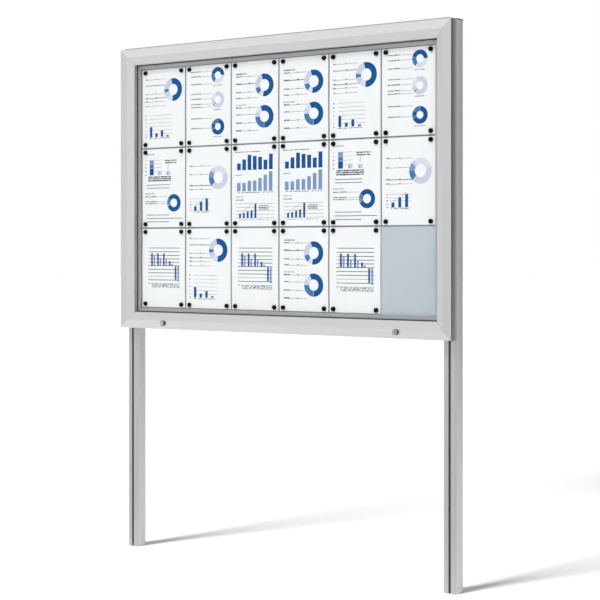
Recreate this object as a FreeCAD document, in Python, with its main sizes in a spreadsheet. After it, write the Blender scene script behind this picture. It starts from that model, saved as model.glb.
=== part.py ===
import FreeCAD, Part
import Sketcher
import os
import re

# Lockable notice board on two posts. X runs along the board, Y from front to back, Z up, in millimetres.
# The origin is on the ground, midway between the posts and midway through the depth.

sizes = {
    # board as a whole; its width and height follow from the sheets that it holds
    "board_depth": 40,
    "ground_clearance": 840,
    # door profile: flat outer face, bevel falling to a thin lip, leg that holds the glass
    "door_depth": 13.5,
    "door_wall": 2,
    "door_edge_radius": 2.5,
    "flat_width": 31,
    "bevel_width": 29,
    "bevel_drop": 12.5,
    "lip_gauge": 1.5,
    "leg_offset": 44,
    "leg_gauge": 2,
    "leg_back": 26,
    "chamber_end": 42,
    # glass and what holds it
    "tape_gauge": 0.5,
    "tape_width": 9,
    "glass_gauge": 4,
    "glass_edge_gap": 2,
    # case profile: outer wall, floor, hollow box that carries the seal and the panel
    "parting_gap": 0.5,
    "case_wall": 2,
    "case_floor": 2,
    "box_offset": 50,
    "box_width": 26.5,
    "box_wall": 1.8,
    "floor_width": 80,
    "seal_gauge": 3,
    "seal_offset": 52,
    "seal_width": 12,
    # back panel
    "panel_gauge": 1,
    "panel_grip": 6.5,
    # corner cleats
    "door_cleat_reach": 70,
    "door_cleat_width": 28,
    "case_cleat_reach": 110,
    "case_cleat_width": 12,
    # posts
    "post_width": 56,
    "post_depth": 50,
    "post_radius": 14,
    "post_wall": 3,
    "slot_mouth": 9,
    "slot_lip": 3.5,
    "slot_cavity": 19,
    "slot_depth": 11.5,
    "core_width": 18,
    "foot_bore_radius": 5.1,
    "foot_bore_setback": 31,
    "cap_gauge": 3,
    "cap_overhang": 1.5,
    "cap_plug_width": 10,
    "cap_plug_depth": 15,
    # slot bolts between case and posts
    "bolt_radius": 4,
    "bolt_clearance": 0.3,
    "bolt_head_width": 16,
    "bolt_head_height": 10,
    "bolt_head_gauge": 5,
    "bolt_length": 16,
    "bolt_edge": 50,
    "bolts_per_post": 3,
    "washer_radius": 8,
    "washer_gauge": 1.5,
    "bolt_nut_flats": 13,
    "bolt_nut_gauge": 6.5,
    # hinge along the top edge
    "knuckle_radius": 2.2,
    "knuckle_rise": 0.3,
    "knuckle_gap": 0.6,
    "knuckles": 15,
    "hinge_margin": 12,
    "hinge_pin_radius": 1,
    "hinge_fit": 0.05,
    "leaf_gauge": 1,
    "leaf_reach": 10,
    "rivets_per_leaf": 14,
    "rivet_margin": 80,
    "rivet_inset": 3.4,
    "rivet_radius": 1.5,
    "rivet_fit": 0.1,
    "rivet_head_radius": 2.6,
    "rivet_head_gauge": 0.9,
    "rivet_length": 4.5,
    # cam locks
    "lock_margin": 212,
    "lock_inset": 22,
    "lock_head_radius": 10,
    "lock_head_gauge": 7,
    "lock_rim_step": 0.8,
    "barrel_radius": 8,
    "barrel_fit": 0.1,
    "barrel_length": 20,
    "plug_radius": 6,
    "plug_fit": 0.05,
    "plug_recess": 1,
    "key_slot_length": 8,
    "key_slot_width": 1.6,
    "key_slot_depth": 12,
    "lock_nut_flats": 22,
    "lock_nut_gauge": 4,
    "cam_reach": 17,
    "cam_width": 12,
    "cam_hub_radius": 8,
    "cam_tip_radius": 3,
    "cam_gauge": 2,
    "cam_screw_radius": 2,
    "cam_screw_head_radius": 4.5,
    "cam_screw_head_gauge": 2.5,
    "cam_screw_length": 8,
    # keepers behind which the cams turn
    "keeper_width": 60,
    "keeper_reach": 7,
    "keeper_gauge": 2,
    "keeper_web": 1.5,
    "cam_clearance": 0.5,
    # gas struts in the side channels
    "strut_inset": 24,
    "strut_depth": 22,
    "strut_case_drop": 120,
    "strut_door_drop": 480,
    "strut_pin_radius": 4,
    "strut_pin_flange_radius": 9,
    "strut_pin_flange_shift": 2,
    "strut_pin_flange_gauge": 2,
    "strut_eye_radius": 7.5,
    "strut_eye_width": 10,
    "strut_neck_radius": 4.5,
    "strut_fit": 0.05,
    "strut_pivot_gap": 0.3,
    "tube_radius": 7,
    "tube_bore": 5.8,
    "tube_start": 12,
    "tube_end": 320,
    "tube_cap": 8,
    "rod_radius": 3,
    "rod_start": 50,
    "piston_radius": 5.7,
    "piston_gauge": 6,
    "rod_end_radius": 6.5,
    # sheets and magnets
    "sheet_width": 210,
    "sheet_height": 297,
    "sheet_gauge": 0.3,
    "sheet_gap": 5,
    "sheet_clearance": 3,
    "columns": 6,
    "rows": 3,
    "magnet_radius": 8,
    "magnet_gauge": 6.5,
    "magnet_edge_radius": 0.8,
    "magnet_side": 17,
    "magnet_end": 12,
    # how far a cut runs past what it cuts
    "cut_margin": 1,
}

# The sheets stand side by side and one above another, clear of the hollow box of the case.
field_width = "(columns * sheet_width + (columns - 1) * sheet_gap)"
field_height = "(rows * sheet_height + (rows - 1) * sheet_gap)"
box_end = "(box_offset + box_width)"
derived = {
    "board_width": f"({field_width} + 2 * ({box_end} + sheet_clearance))",
    "board_height": f"({field_height} + 2 * ({box_end} + sheet_clearance))",
}

# Depths behind the front face of the door, which is at zero until each sub-part is placed.
case_front = "(door_depth + parting_gap)"
lip_back = "(bevel_drop + lip_gauge)"
glass_front = f"({lip_back} + tape_gauge)"
glass_back = f"({glass_front} + glass_gauge)"
box_front = "(leg_back + seal_gauge)"
floor_front = "(board_depth - case_floor)"
panel_front = f"({floor_front} - panel_gauge)"
plug_back = "(barrel_length + cam_clearance)"

# Distances in from the outer edge of the board.
face_width = "(flat_width + bevel_width)"
glass_edge = "(leg_offset + leg_gauge + glass_edge_gap)"
panel_edge = f"({box_end} - panel_grip)"

# Heights and half sizes. Board pieces are drawn about the middle of the board.
half_width = "(board_width / 2)"
half_height = "(board_height / 2)"
board_middle = "(ground_clearance + board_height / 2)"
post_height = "(ground_clearance + board_height)"
post_side = f"({half_width} - post_width / 2)"
front_shift = "((lock_head_gauge - board_depth - post_depth - cap_overhang) / 2)"
hinge_height = f"({half_height} + knuckle_rise + knuckle_radius)"
hinge_length = "(board_width - 2 * hinge_margin)"
knuckle_pitch = f"({hinge_length} / knuckles)"

doc = FreeCAD.newDocument("NoticeBoard")
sheet = doc.addObject("Spreadsheet::Sheet", "Sizes")
nodes = []


def fill_sheet():
    for row, (name, value) in enumerate(sizes.items(), start=1):
        sheet.set(f"A{row}", name)
        sheet.set(f"B{row}", str(value))
        sheet.setAlias(f"B{row}", name)
    doc.recompute()


def cells(text):
    # names of sheet cells become references to them
    return re.sub(r"[a-z][a-z_]*", lambda word: refer(word.group()), str(text))


def refer(word):
    if word in derived:
        return cells(derived[word])
    return f"Sizes.{word}" if word in sizes else word


def value(text):
    return float(sheet.evalExpression(cells(text)))


def new_body(label):
    body = doc.addObject("PartDesign::Body", label)
    body.Label = label
    body.AllowCompound = True
    return body


def origin_part(body, role):
    return next(feature for feature in body.Origin.OriginFeatures if feature.Role == role)


def place(feature, x="0", y="0", z="0", turn=0, axis=(0, 1, 0)):
    feature.Placement = FreeCAD.Placement(FreeCAD.Vector(), FreeCAD.Rotation(FreeCAD.Vector(*axis), turn))
    for letter, text in zip("xyz", (x, y, z)):
        feature.setExpression(f".Placement.Base.{letter}", cells(text))


def keep(feature, x="0", z="0", turn=0):
    # a finished sub-part: set back so that the origin is midway through the depth
    place(feature, x, front_shift, z, turn)
    nodes.append(feature)


def sketch_on(body, plane, start="0"):
    # start is the height of the sketch along the axis that the plane faces
    sketch = body.newObject("Sketcher::SketchObject", "Outline")
    sketch.AttachmentSupport = (origin_part(body, f"{plane}_Plane"), [""])
    sketch.MapMode = "FlatFace"
    sign = "-" if plane == "XZ" else ""
    sketch.setExpression(".AttachmentOffset.Base.z", cells(f"{sign}({start})"))
    return sketch


def fix(sketch, kind, geometry, point, text):
    # one coordinate of one point, bound to the sheet
    index = sketch.addConstraint(Sketcher.Constraint(kind, -1, 1, geometry, point, value(text)))
    sketch.setExpression(f"Constraints[{index}]", cells(text))


def add_circle(sketch, x, y, radius):
    centre = FreeCAD.Vector(value(x), value(y), 0)
    circle = sketch.addGeometry(Part.Circle(centre, FreeCAD.Vector(0, 0, 1), value(radius)), False)
    fix(sketch, "DistanceX", circle, 3, x)
    fix(sketch, "DistanceY", circle, 3, y)
    index = sketch.addConstraint(Sketcher.Constraint("Radius", circle, value(radius)))
    sketch.setExpression(f"Constraints[{index}]", cells(radius))


def toward(start, end):
    # unit step along a horizontal or vertical edge
    step = [end[axis] - start[axis] for axis in (0, 1)]
    return [round(part / max(map(abs, step))) for part in step]


def add_outline(sketch, corners):
    # a closed outline; a corner is (x, y), or (x, y, radius) where two square edges meet in an arc
    spots = [(value(corner[0]), value(corner[1])) for corner in corners]
    ends = []
    for index, corner in enumerate(corners):
        if len(corner) == 2:
            ends.append([(corner[0], corner[1])])
            continue
        arms = (toward(spots[index], spots[index - 1]),
                toward(spots[index], spots[(index + 1) % len(corners)]))
        ends.append([(f"({corner[0]}) + {arm[0]} * ({corner[2]})",
                      f"({corner[1]}) + {arm[1]} * ({corner[2]})")
                     for arm in arms])
    chain = []
    for index, corner in enumerate(corners):
        here = ends[index]
        if len(here) == 2:
            chain.append((add_arc(sketch, spots[index], here, corner[2]), here[0]))
        following = ends[(index + 1) % len(corners)]
        chain.append((add_line(sketch, here[-1], following[0]), here[-1]))
    for index, (geometry, start) in enumerate(chain):
        join = Sketcher.Constraint("Coincident", chain[index - 1][0], 2, geometry, 1)
        sketch.addConstraint(join)
        fix(sketch, "DistanceX", geometry, 1, start[0])
        fix(sketch, "DistanceY", geometry, 1, start[1])


def add_line(sketch, start, end):
    points = [FreeCAD.Vector(value(x), value(y), 0) for x, y in (start, end)]
    return sketch.addGeometry(Part.LineSegment(*points), False)


def add_arc(sketch, corner, ends, radius):
    # the middle of the arc lies on the way from the corner to the arc's centre
    start, end = [FreeCAD.Vector(value(x), value(y), 0) for x, y in ends]
    tip = FreeCAD.Vector(*corner, 0)
    centre = start + end - tip
    middle = centre + (tip - centre).normalize() * value(radius)
    arc = Part.Arc(start, middle, end)
    geometry = sketch.addGeometry(arc, False)
    circle = sketch.Geometry[geometry]
    flipped = (circle.StartPoint - start).Length > (circle.EndPoint - start).Length
    if flipped:
        raise ValueError("an outline with arcs runs anticlockwise")
    index = sketch.addConstraint(Sketcher.Constraint("Radius", geometry, value(radius)))
    sketch.setExpression(f"Constraints[{index}]", cells(radius))
    return geometry


def pad(body, sketch, length, both=False):
    # material grows towards the positive side of the axis that the sketch faces
    feature = body.newObject("PartDesign::Pad", "Pad")
    feature.Profile = sketch
    feature.setExpression("Length", cells(length))
    feature.SideType = "Symmetric" if both else "One side"
    feature.Reversed = is_upright(sketch) and not both
    doc.recompute()
    return feature


def pocket(body, sketch, length, both=True):
    # material goes on both sides of the sketch, or on its positive side only
    feature = body.newObject("PartDesign::Pocket", "Pocket")
    feature.Profile = sketch
    feature.setExpression("Length", cells(length))
    feature.SideType = "Symmetric" if both else "One side"
    feature.Reversed = not is_upright(sketch) and not both
    doc.recompute()
    return feature


def is_upright(sketch):
    return sketch.AttachmentSupport[0][0].Role == "XZ_Plane"


def revolve(body, sketch, axis):
    feature = body.newObject("PartDesign::Revolution", "Turned")
    feature.Profile = sketch
    feature.ReferenceAxis = (sketch, [axis])
    feature.Angle = 360
    doc.recompute()
    return feature


def spread(body, feature, *steps):
    # copies in rows: each step is an axis, the distance from first to last, and how many
    many = body.newObject("PartDesign::MultiTransform", "Copies")
    many.Originals = [feature]
    rows = []
    for axis, length, count in steps:
        row = body.newObject("PartDesign::LinearPattern", "Row")
        row.Direction = (origin_part(body, f"{axis}_Axis"), [""])
        row.setExpression("Length", cells(length))
        row.setExpression("Occurrences", cells(count))
        rows.append(row)
    many.Transformations = rows
    body.Tip = many
    doc.recompute()
    return many


def mirror(body, features, *planes):
    # the features again on the far side of each plane in turn
    many = body.newObject("PartDesign::MultiTransform", "Mirrors")
    many.Originals = features
    images = []
    for plane in planes:
        image = body.newObject("PartDesign::Mirrored", "Image")
        image.MirrorPlane = (origin_part(body, f"{plane}_Plane"), [""])
        images.append(image)
    many.Transformations = images
    body.Tip = many
    doc.recompute()
    return many


def group(label, members, x="0", z="0"):
    together = doc.addObject("Part::Compound", label)
    together.Label = label
    together.Links = members
    keep(together, x, z)
    return together


def box_corners(left, bottom, right, top, radius=None):
    corners = [(left, bottom), (right, bottom), (right, top), (left, top)]
    return corners if radius is None else [corner + (radius,) for corner in corners]


def hexagon(x, y, flats):
    corners = []
    for turn in range(30, 390, 60):
        corners.append((f"({x}) + ({flats}) / sqrt(3) * cos({turn} deg)",
                        f"({y}) + ({flats}) / sqrt(3) * sin({turn} deg)"))
    return corners


def mitred(body, sections, half_span, half_length, reach):
    # a straight profile along X with its outer edge at half_span, cut at 45 degrees at both ends;
    # a section lists (inset from the outer edge, depth) and the first one is the outline, the rest chambers
    outline = sketch_on(body, "YZ")
    for section in sections:
        corners = [(corner[1], f"{half_span} - ({corner[0]})") + tuple(corner[2:]) for corner in section]
        add_outline(outline, corners)
    rail = pad(body, outline, f"2 * {half_length}", both=True)
    waste = sketch_on(body, "XZ")
    add_outline(waste, [(f"{half_length} + cut_margin", f"{half_span} + cut_margin"),
                        (f"{half_length} + cut_margin", f"{half_span} - ({reach}) - cut_margin"),
                        (f"{half_length} - ({reach}) - cut_margin", f"{half_span} - ({reach}) - cut_margin")])
    cut = pocket(body, waste, "4 * board_depth")
    mirror(body, [cut], "YZ")
    return rail


def door_section():
    outline = [("0", "door_depth"), ("0", "0", "door_edge_radius"), ("flat_width", "0"),
               (face_width, "bevel_drop"), (face_width, lip_back), ("leg_offset + leg_gauge", lip_back),
               ("leg_offset + leg_gauge", "leg_back"), ("leg_offset", "leg_back"),
               ("leg_offset", "door_depth")]
    fall = "(bevel_drop * (chamber_end - flat_width) / bevel_width)"
    chamber = [("door_wall", "door_wall"), ("door_wall", "door_depth - door_wall"),
               ("chamber_end", "door_depth - door_wall"), ("chamber_end", f"door_wall + {fall}"),
               ("flat_width", "door_wall")]
    return [outline, chamber]


def case_section():
    outline = [("0", "board_depth"), ("0", case_front), ("case_wall", case_front), ("case_wall", floor_front),
               ("box_offset", floor_front), ("box_offset", box_front), (box_end, box_front),
               (box_end, panel_front), (panel_edge, panel_front), (panel_edge, floor_front),
               ("floor_width", floor_front), ("floor_width", "board_depth")]
    chamber = [("box_offset + box_wall", f"{box_front} + box_wall"),
               (f"{box_end} - box_wall", f"{box_front} + box_wall"),
               (f"{box_end} - box_wall", f"{panel_front} - box_wall"),
               ("box_offset + box_wall", f"{panel_front} - box_wall")]
    return [outline, chamber]


def bead_section():
    return [[("leg_offset + leg_gauge", glass_back), (face_width, glass_back), (face_width, "leg_back"),
             ("leg_offset + leg_gauge", "leg_back")]]


def tape_section():
    return [[(f"{glass_edge}", lip_back), (f"{glass_edge} + tape_width", lip_back),
             (f"{glass_edge} + tape_width", glass_front), (f"{glass_edge}", glass_front)]]


def seal_section():
    return [[("seal_offset", "leg_back"), ("seal_offset + seal_width", "leg_back"),
             ("seal_offset + seal_width", box_front), ("seal_offset", box_front)]]


def top_and_bottom():
    return half_height, half_width


def sides():
    return half_width, half_height


def rivet_holes(body, depth):
    sketch = sketch_on(body, "XY", half_height)
    add_circle(sketch, f"rivet_margin - {half_width}", depth, "rivet_radius + rivet_fit")
    hole = body.newObject("PartDesign::Pocket", "RivetHole")
    hole.Profile = sketch
    hole.setExpression("Length", cells("1.5 * door_wall"))
    doc.recompute()
    spread(body, hole, ("X", "board_width - 2 * rivet_margin", "rivets_per_leaf"))


def lock_holes(body):
    sketch = sketch_on(body, "XZ")
    add_circle(sketch, f"{half_width} - lock_margin", f"{half_height} - lock_inset",
               "barrel_radius + barrel_fit")
    mirror(body, [pocket(body, sketch, "4 * door_depth")], "YZ")


def bolt_holes(body):
    # the stile's own outer edge is at the top while it is drawn, and its length lies along X
    sketch = sketch_on(body, "XZ", "board_depth")
    add_circle(sketch, f"bolt_edge - {half_height}", f"{half_width} - post_width / 2",
               "bolt_radius + bolt_clearance")
    hole = pocket(body, sketch, "4 * case_floor")
    spread(body, hole, ("X", "board_height - 2 * bolt_edge", "bolts_per_post"))


def door_rivet_depth():
    return f"({case_front} - leaf_reach + rivet_inset)"


def case_rivet_depth():
    return f"({case_front} + leaf_reach - rivet_inset)"


def make_frames():
    for name, turn, span in (("top_rail", 0, top_and_bottom()), ("right_stile", 90, sides()),
                             ("bottom_rail", 180, top_and_bottom()), ("left_stile", -90, sides())):
        door = new_body(f"door_{name}")
        mitred(door, door_section(), *span, face_width)
        case = new_body(f"case_{name}")
        mitred(case, case_section(), *span, "floor_width")
        if name == "top_rail":
            rivet_holes(door, door_rivet_depth())
            rivet_holes(case, case_rivet_depth())
        if name == "bottom_rail":
            lock_holes(door)
        if name.endswith("stile"):
            bolt_holes(case)
        keep(door, z=board_middle, turn=turn)
        keep(case, z=board_middle, turn=turn)


def make_ring(label, section, reach):
    # four mitred strips as one node
    members = []
    for name, turn, span in (("top", 0, top_and_bottom()), ("right", 90, sides()),
                             ("bottom", 180, top_and_bottom()), ("left", -90, sides())):
        strip = new_body(f"{label}_{name}")
        mitred(strip, section, *span, reach)
        place(strip, turn=turn)
        members.append(strip)
    group(label, members, z=board_middle)


def make_cleats(label, reach, width, inset, front, depth):
    # an L of two legs in each corner of the frame
    body = new_body(label)
    sketch = sketch_on(body, "XZ", front)
    outer_x = f"({half_width} - ({inset}))"
    outer_z = f"({half_height} - ({inset}))"
    end_x = f"({half_width} - ({reach}))"
    end_z = f"({half_height} - ({reach}))"
    add_outline(sketch, [(outer_x, outer_z), (outer_x, end_z), (f"{outer_x} - ({width})", end_z),
                         (f"{outer_x} - ({width})", f"{outer_z} - ({width})"),
                         (end_x, f"{outer_z} - ({width})"), (end_x, outer_z)])
    cleat = pad(body, sketch, depth)
    mirror(body, [cleat], "YZ", "XY")
    keep(body, z=board_middle)


def make_plate(label, inset, front, gauge):
    body = new_body(label)
    sketch = sketch_on(body, "XZ", front)
    add_outline(sketch, box_corners(f"({inset}) - {half_width}", f"({inset}) - {half_height}",
                                    f"{half_width} - ({inset})", f"{half_height} - ({inset})"))
    pad(body, sketch, gauge)
    keep(body, z=board_middle)


def post_chamber(side):
    # one of the two hollows beside the core, with the outer corners rounded by the wall
    inner = "core_width / 2"
    outer = "(post_width / 2 - post_wall)"
    front = "(board_depth + slot_depth + post_wall)"
    back = "(board_depth + post_depth - post_wall)"
    radius = "(post_radius - post_wall)"
    if side > 0:
        return [(inner, front), (outer, front), (outer, back, radius), (inner, back)]
    return [(f"-{outer}", front), (f"-{inner}", front), (f"-{inner}", back), (f"-{outer}", back, radius)]


def make_post(label, side):
    body = new_body(label)
    section = sketch_on(body, "XY")
    add_outline(section, box_corners("-post_width / 2", "board_depth", "post_width / 2",
                                     "board_depth + post_depth", "post_radius"))
    for chamber_side in (1, -1):
        add_outline(section, post_chamber(chamber_side))
    add_circle(section, "0", "board_depth + foot_bore_setback", "foot_bore_radius")
    pad(body, section, post_height)
    for width, front, depth in (("slot_mouth", "board_depth", "slot_lip + cut_margin"),
                                ("slot_cavity", "board_depth + slot_lip", "slot_depth - slot_lip")):
        slot = sketch_on(body, "XZ", front)
        add_outline(slot, box_corners(f"-{width} / 2", "-cut_margin", f"{width} / 2",
                                      f"{post_height} + cut_margin"))
        pocket(body, slot, depth, both=False)
    keep(body, x=f"{side} * {post_side}")


def make_cap(label, side):
    # a plate that stands a little proud all round, with a plug down each chamber
    body = new_body(label)
    outline = sketch_on(body, "XY", post_height)
    reach = "(post_width / 2 + cap_overhang)"
    add_outline(outline, box_corners(f"-{reach}", "board_depth - cap_overhang", reach,
                                     "board_depth + post_depth + cap_overhang", "post_radius + cap_overhang"))
    pad(body, outline, "cap_gauge")
    plugs = sketch_on(body, "XY", f"{post_height} - cap_plug_depth")
    front = "board_depth + slot_depth + post_wall"
    add_outline(plugs, box_corners("core_width / 2", front, "core_width / 2 + cap_plug_width",
                                   f"{front} + 2 * cap_plug_width"))
    plug = pad(body, plugs, "cap_plug_depth")
    mirror(body, [plug], "YZ")
    keep(body, x=f"{side} * {post_side}")


def bolt_rows():
    return (("X", f"2 * {post_side}", "2"), ("Z", "board_height - 2 * bolt_edge", "bolts_per_post"))


def make_bolts():
    # the first bolt is at the lower left, with its head in the slot of the post
    x = f"(-{post_side})"
    z = f"(bolt_edge - {half_height})"
    bolts = new_body("slot_bolts")
    head = sketch_on(bolts, "XZ", "board_depth + slot_lip")
    add_outline(head, box_corners(f"{x} - bolt_head_width / 2", f"{z} - bolt_head_height / 2",
                                  f"{x} + bolt_head_width / 2", f"{z} + bolt_head_height / 2"))
    first = pad(bolts, head, "bolt_head_gauge")
    shank = sketch_on(bolts, "XZ", "board_depth + slot_lip - bolt_length")
    add_circle(shank, x, z, "bolt_radius")
    second = pad(bolts, shank, "bolt_length")
    spread_all(bolts, [first, second], *bolt_rows())
    keep(bolts, z=board_middle)

    washers = new_body("bolt_washers")
    ring = sketch_on(washers, "XZ", f"{floor_front} - washer_gauge")
    add_circle(ring, x, z, "washer_radius")
    add_circle(ring, x, z, "bolt_radius + bolt_clearance")
    spread(washers, pad(washers, ring, "washer_gauge"), *bolt_rows())
    keep(washers, z=board_middle)

    nuts = new_body("bolt_nuts")
    block = sketch_on(nuts, "XZ", f"{floor_front} - washer_gauge - bolt_nut_gauge")
    add_outline(block, hexagon(x, z, "bolt_nut_flats"))
    add_circle(block, x, z, "bolt_radius")
    spread(nuts, pad(nuts, block, "bolt_nut_gauge"), *bolt_rows())
    keep(nuts, z=board_middle)


def spread_all(body, features, *steps):
    many = spread(body, features[0], *steps)
    many.Originals = features
    doc.recompute()
    return many


def knuckle(body, first, count, tab_start, tab_end):
    # rolled knuckles with a tab to the leaf; first counts places from the left end of the hinge
    x = f"({first} * {knuckle_pitch} - {hinge_length} / 2 + knuckle_gap / 2)"
    step = f"2 * {knuckle_pitch} * ({count} - 1)"
    features = []
    roll = sketch_on(body, "YZ", x)
    add_circle(roll, case_front, hinge_height, "knuckle_radius")
    features.append(pad(body, roll, f"{knuckle_pitch} - knuckle_gap"))
    tab = sketch_on(body, "YZ", x)
    add_outline(tab, box_corners(tab_start, half_height, tab_end, f"{half_height} + leaf_gauge"))
    features.append(pad(body, tab, f"{knuckle_pitch} - knuckle_gap"))
    spread_all(body, features, ("X", step, count))
    bore = sketch_on(body, "YZ")
    add_circle(bore, case_front, hinge_height, "hinge_pin_radius + hinge_fit")
    pocket(body, bore, f"2 * {hinge_length}")


def make_hinge():
    near = "(knuckle_radius + 2 * knuckle_rise)"
    for label, sign, first, count, rivet_depth in (
            ("case_hinge_leaf", 1, 0, "(knuckles + 1) / 2", case_rivet_depth()),
            ("door_hinge_leaf", -1, 1, "(knuckles - 1) / 2", door_rivet_depth())):
        body = new_body(label)
        leaf = sketch_on(body, "YZ")
        inner = f"{case_front} + {sign} * {near}"
        outer = f"{case_front} + {sign} * leaf_reach"
        tab = f"{case_front} + {sign} * knuckle_rise"
        ends = (inner, outer) if sign > 0 else (outer, inner)
        add_outline(leaf, box_corners(ends[0], half_height, ends[1], f"{half_height} + leaf_gauge"))
        pad(body, leaf, hinge_length, both=True)
        tab_ends = (tab, outer) if sign > 0 else (outer, tab)
        knuckle(body, first, count, *tab_ends)
        sketch = sketch_on(body, "XY", f"{half_height} + leaf_gauge")
        add_circle(sketch, f"rivet_margin - {half_width}", rivet_depth, "rivet_radius + rivet_fit")
        hole = body.newObject("PartDesign::Pocket", "RivetHole")
        hole.Profile = sketch
        hole.setExpression("Length", cells("leaf_gauge"))
        doc.recompute()
        spread(body, hole, ("X", "board_width - 2 * rivet_margin", "rivets_per_leaf"))
        keep(body, z=board_middle)
    pin = new_body("hinge_pin")
    wire = sketch_on(pin, "YZ")
    add_circle(wire, case_front, hinge_height, "hinge_pin_radius")
    pad(pin, wire, hinge_length, both=True)
    keep(pin, z=board_middle)


def make_rivets(label, depth):
    body = new_body(label)
    top = f"({half_height} + leaf_gauge)"
    features = []
    for radius, bottom, length in (("rivet_head_radius", top, "rivet_head_gauge"),
                                   ("rivet_radius", f"{top} - rivet_length", "rivet_length")):
        disc = sketch_on(body, "XY", bottom)
        add_circle(disc, f"rivet_margin - {half_width}", depth, radius)
        features.append(pad(body, disc, length))
    spread_all(body, features, ("X", "board_width - 2 * rivet_margin", "rivets_per_leaf"))
    keep(body, z=board_middle)


def ring_pad(body, x, z, start, length, outer, inner=None):
    sketch = sketch_on(body, "XZ", start)
    add_circle(sketch, x, z, outer)
    if inner:
        add_circle(sketch, x, z, inner)
    return pad(body, sketch, length)


def lock_spot(side):
    return f"({side} * ({half_width} - lock_margin))", f"(lock_inset - {half_height})"


def make_lock_housings():
    x, z = lock_spot(1)
    bore = "plug_radius + plug_fit"
    housings = new_body("lock_housings")
    head = ring_pad(housings, x, z, "lock_rim_step - lock_head_gauge", "lock_head_gauge - lock_rim_step",
                    "lock_head_radius", bore)
    rim = ring_pad(housings, x, z, "-lock_head_gauge", "lock_rim_step",
                   "lock_head_radius - lock_rim_step", bore)
    barrel = ring_pad(housings, x, z, "0", "barrel_length", "barrel_radius", bore)
    mirror(housings, [head, rim, barrel], "YZ")
    keep(housings, z=board_middle)

    nuts = new_body("lock_nuts")
    block = sketch_on(nuts, "XZ", "door_depth")
    add_outline(block, hexagon(x, z, "lock_nut_flats"))
    add_circle(block, x, z, "barrel_radius")
    mirror(nuts, [pad(nuts, block, "lock_nut_gauge")], "YZ")
    keep(nuts, z=board_middle)


def make_lock(name, side):
    # at rest the cam lies level, pointing to the middle of the board, clear of the keeper
    x, z = lock_spot(side)
    plug = new_body(f"{name}_plug")
    front = "(plug_recess - lock_head_gauge)"
    ring_pad(plug, x, z, front, f"{plug_back} - {front}", "plug_radius")
    key = sketch_on(plug, "XZ", front)
    add_outline(key, box_corners(f"{x} - key_slot_width / 2", f"{z} - key_slot_length / 2",
                                 f"{x} + key_slot_width / 2", f"{z} + key_slot_length / 2"))
    pocket(plug, key, "key_slot_depth", both=False)
    tap = sketch_on(plug, "XZ", f"{plug_back} - cam_screw_length")
    add_circle(tap, x, z, "cam_screw_radius")
    pocket(plug, tap, "cam_screw_length", both=False)
    keep(plug, z=board_middle)

    cam = new_body(f"{name}_cam")
    hole = "cam_screw_radius + barrel_fit"
    ring_pad(cam, x, z, plug_back, "cam_gauge", "cam_hub_radius", hole)
    arm = sketch_on(cam, "XZ", plug_back)
    near = f"{x} - ({side}) * cam_hub_radius / 2"
    tip = f"{x} - ({side}) * cam_reach"
    low = f"{z} - cam_width / 2"
    high = f"{z} + cam_width / 2"
    if side > 0:
        corners = [(tip, low, "cam_tip_radius"), (near, low), (near, high), (tip, high, "cam_tip_radius")]
    else:
        corners = [(near, low), (tip, low, "cam_tip_radius"), (tip, high, "cam_tip_radius"), (near, high)]
    add_outline(arm, corners)
    pad(cam, arm, "cam_gauge")
    keep(cam, z=board_middle)

    screw = new_body(f"{name}_screw")
    ring_pad(screw, x, z, f"{plug_back} + cam_gauge", "cam_screw_head_gauge", "cam_screw_head_radius")
    ring_pad(screw, x, z, f"{plug_back} - cam_screw_length", "cam_screw_length + cam_gauge",
             "cam_screw_radius")
    keep(screw, z=board_middle)


def make_keepers():
    # an angle on the inside of the bottom wall; the cam turns down behind its flange
    body = new_body("lock_keepers")
    x = lock_spot(1)[0]
    flange_back = f"({plug_back} - cam_clearance)"
    section = sketch_on(body, "YZ", f"{x} - keeper_width / 2")
    wall = f"(case_wall - {half_height})"
    add_outline(section, [(f"{flange_back} - keeper_gauge", wall), (floor_front, wall),
                          (floor_front, f"{wall} + keeper_web"), (flange_back, f"{wall} + keeper_web"),
                          (flange_back, f"{wall} + keeper_reach"),
                          (f"{flange_back} - keeper_gauge", f"{wall} + keeper_reach")])
    mirror(body, [pad(body, section, "keeper_width")], "YZ")
    keep(body, z=board_middle)


def side_disc(body, start, length, y, z, outer, inner=None):
    sketch = sketch_on(body, "YZ", start)
    add_circle(sketch, y, z, outer)
    if inner:
        add_circle(sketch, y, z, inner)
    return pad(body, sketch, length)


def make_strut_studs():
    eye_inner = f"({half_width} - strut_inset - strut_eye_width / 2)"
    wall = f"({half_width} - case_wall)"
    case_z = f"({half_height} - strut_case_drop)"
    door_z = f"({half_height} - strut_door_drop)"
    case_studs = new_body("strut_case_studs")
    pin = side_disc(case_studs, eye_inner, f"{wall} - {eye_inner}", "strut_depth", case_z, "strut_pin_radius")
    flange = side_disc(case_studs, f"{wall} - strut_pin_flange_gauge", "strut_pin_flange_gauge",
                       "strut_depth + strut_pin_flange_shift", case_z,
                       "strut_pin_flange_radius")
    mirror(case_studs, [pin, flange], "YZ")
    keep(case_studs, z=board_middle)

    door_studs = new_body("strut_door_studs")
    leg = f"({half_width} - leg_offset)"
    length = f"{eye_inner} - strut_pivot_gap - {leg}"
    stud = side_disc(door_studs, leg, length, "strut_depth", door_z, "strut_pin_radius")
    mirror(door_studs, [stud], "YZ")
    keep(door_studs, z=board_middle)


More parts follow.
